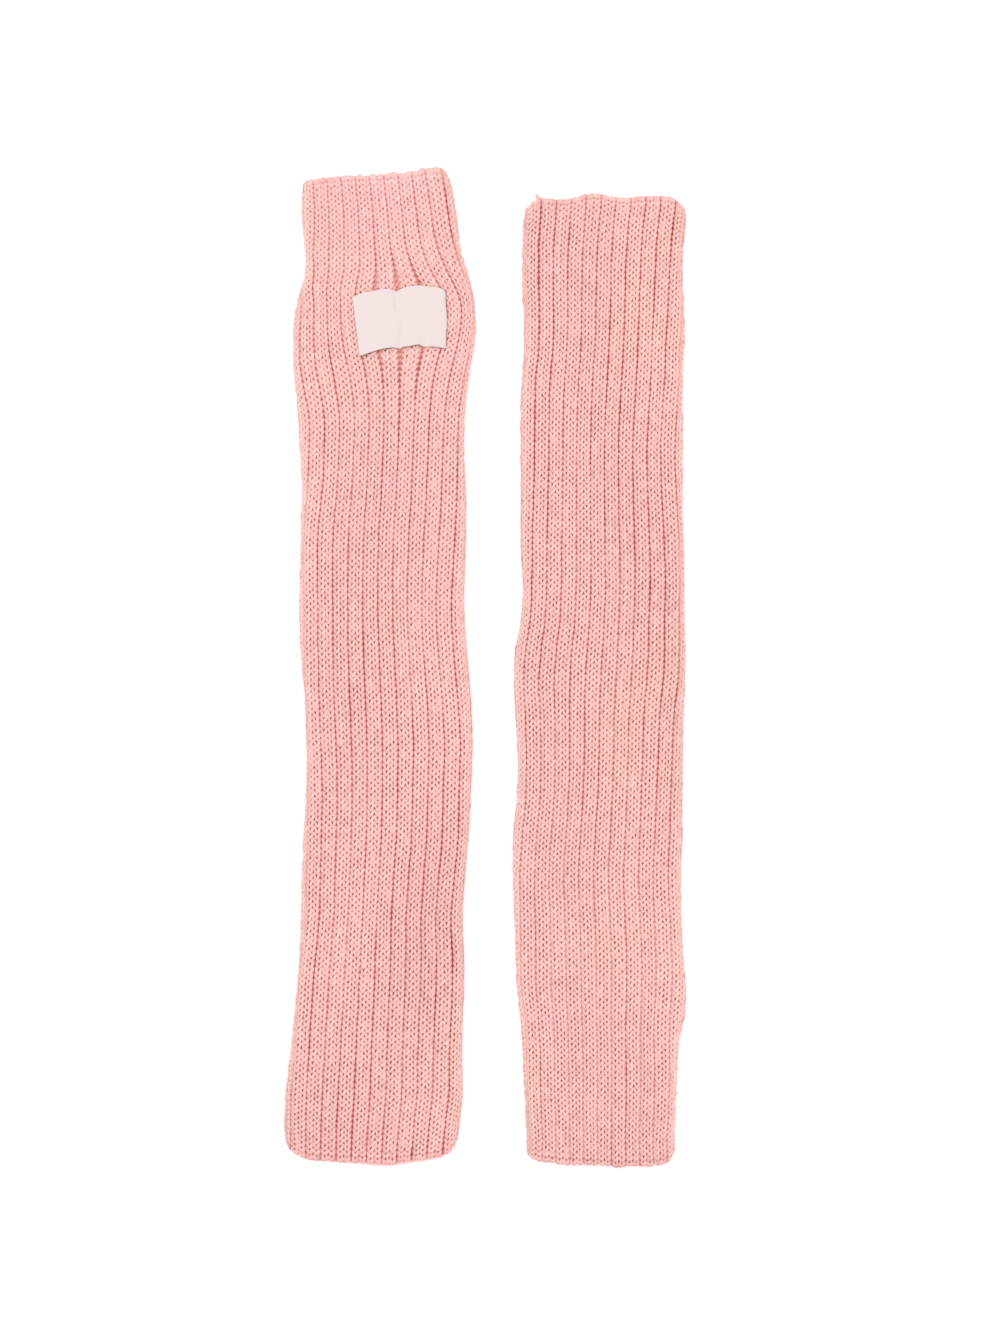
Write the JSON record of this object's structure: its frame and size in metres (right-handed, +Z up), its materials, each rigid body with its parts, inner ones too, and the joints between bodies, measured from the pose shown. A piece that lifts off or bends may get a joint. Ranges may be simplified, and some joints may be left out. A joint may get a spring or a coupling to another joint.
{
  "type": "pair of leg warmers",
  "caption": "Long rib-knit leg warmers lying flat side by side: two soft open tubes of raised lengthwise ribs, with a bare sewn label near the upper end of the left one.",
  "frame": {"origin": "middle of the pair on the surface they lie on", "axes": "+X from the left to the right leg warmer, +Y up the legs towards the upper ends, +Z up from the surface"},
  "size_m": [0.2678, 0.6663, 0.0102],
  "materials": {
    "knit": "soft matt rib knit in pale pink yarn",
    "label_cloth": "smooth pale satin ribbon, faint sheen"
  },
  "bodies": {
    "root": {"leg_warmer_left": "knit", "leg_warmer_right": "knit", "label": "label_cloth"}
  },
  "joints": []
}
